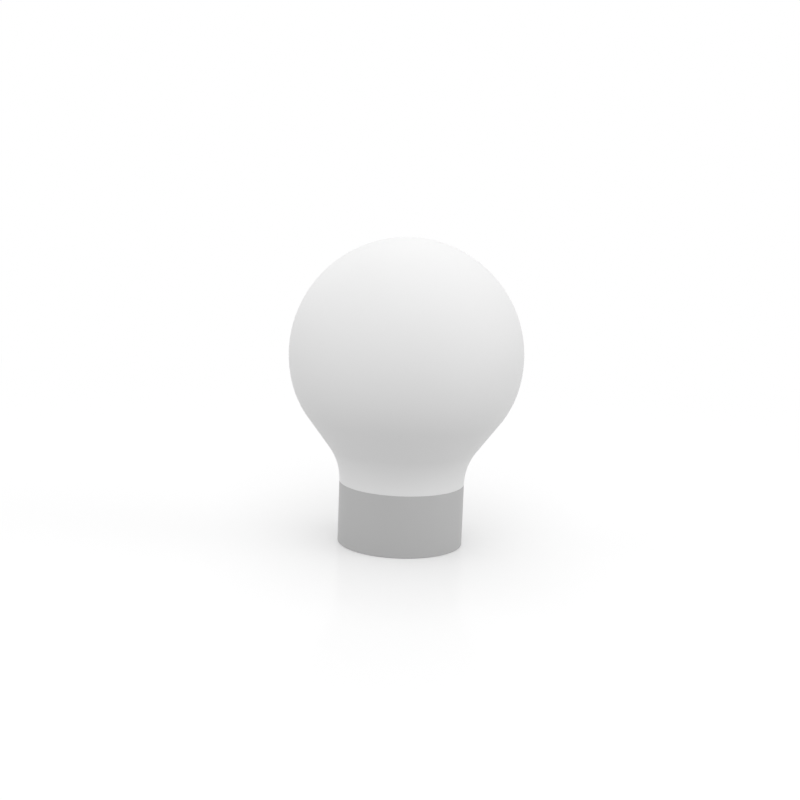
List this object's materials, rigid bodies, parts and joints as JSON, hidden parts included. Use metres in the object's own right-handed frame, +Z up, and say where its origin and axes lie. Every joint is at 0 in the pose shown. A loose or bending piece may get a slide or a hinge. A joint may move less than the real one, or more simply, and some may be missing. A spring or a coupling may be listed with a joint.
{
  "type": "fence post cap",
  "caption": "Ball-top cap for a round tubular fence post: hollow globe on a concave neck, screwed into a short round collar clamped from the rear.",
  "frame": {"origin": "centre of the collar's open end, at the height of the rim that it stands on", "axes": "+Z up the post's axis to the top of the ball; the clamping screws are on the +Y side, so -Y is the front"},
  "size_m": [0.12, 0.12, 0.1583],
  "materials": {
    "globe_plastic": "satin white, blow moulded",
    "collar_plastic": "fine matt grey, injection moulded",
    "rubber": "matt black moulded rubber",
    "insert_brass": "turned brass",
    "screw_steel": "plain stainless steel",
    "pad_nylon": "natural nylon"
  },
  "bodies": {
    "base": {"collar": "collar_plastic", "stop_pad": "rubber", "left_insert": "insert_brass", "right_insert": "insert_brass"},
    "gasket": {"neck_gasket": "rubber"},
    "ball": {"globe": "globe_plastic"},
    "left_pad": {"left_clamp_pad": "pad_nylon"},
    "left_screw": {"left_grub_screw": "screw_steel"},
    "right_pad": {"right_clamp_pad": "pad_nylon"},
    "right_screw": {"right_grub_screw": "screw_steel"}
  },
  "joints": [
    {"name": "globe_lift", "type": "slide", "parent": "base", "child": "gasket", "axis": [0, 0, 1], "range_m": [0, 0.01]},
    {"name": "globe_turn", "type": "hinge", "parent": "gasket", "child": "ball", "pos_m": [0, 0, 0.032], "axis": [0, 0, 1], "range_deg": [0, 720]},
    {"name": "left_pad_slide", "type": "slide", "parent": "base", "child": "left_pad", "axis": [0.7071, -0.7071, 0], "range_m": [0, 0.0015]},
    {"name": "left_screw_turn", "type": "hinge", "parent": "left_pad", "child": "left_screw", "pos_m": [0, 0, 0.008], "axis": [0.7071, -0.7071, 0], "range_deg": [0, 540]},
    {"name": "right_pad_slide", "type": "slide", "parent": "base", "child": "right_pad", "axis": [-0.7071, -0.7071, 0], "range_m": [0, 0.0015]},
    {"name": "right_screw_turn", "type": "hinge", "parent": "right_pad", "child": "right_screw", "pos_m": [0, 0, 0.008], "axis": [-0.7071, -0.7071, 0], "range_deg": [0, 540]}
  ],
  "couplings": [
    {"joint": "globe_lift", "follows": "globe_turn", "m_per_rad": 0.00079577},
    {"joint": "left_screw_turn", "follows": "left_pad_slide", "rad_per_m": 6283.2},
    {"joint": "right_screw_turn", "follows": "right_pad_slide", "rad_per_m": 6283.2}
  ]
}
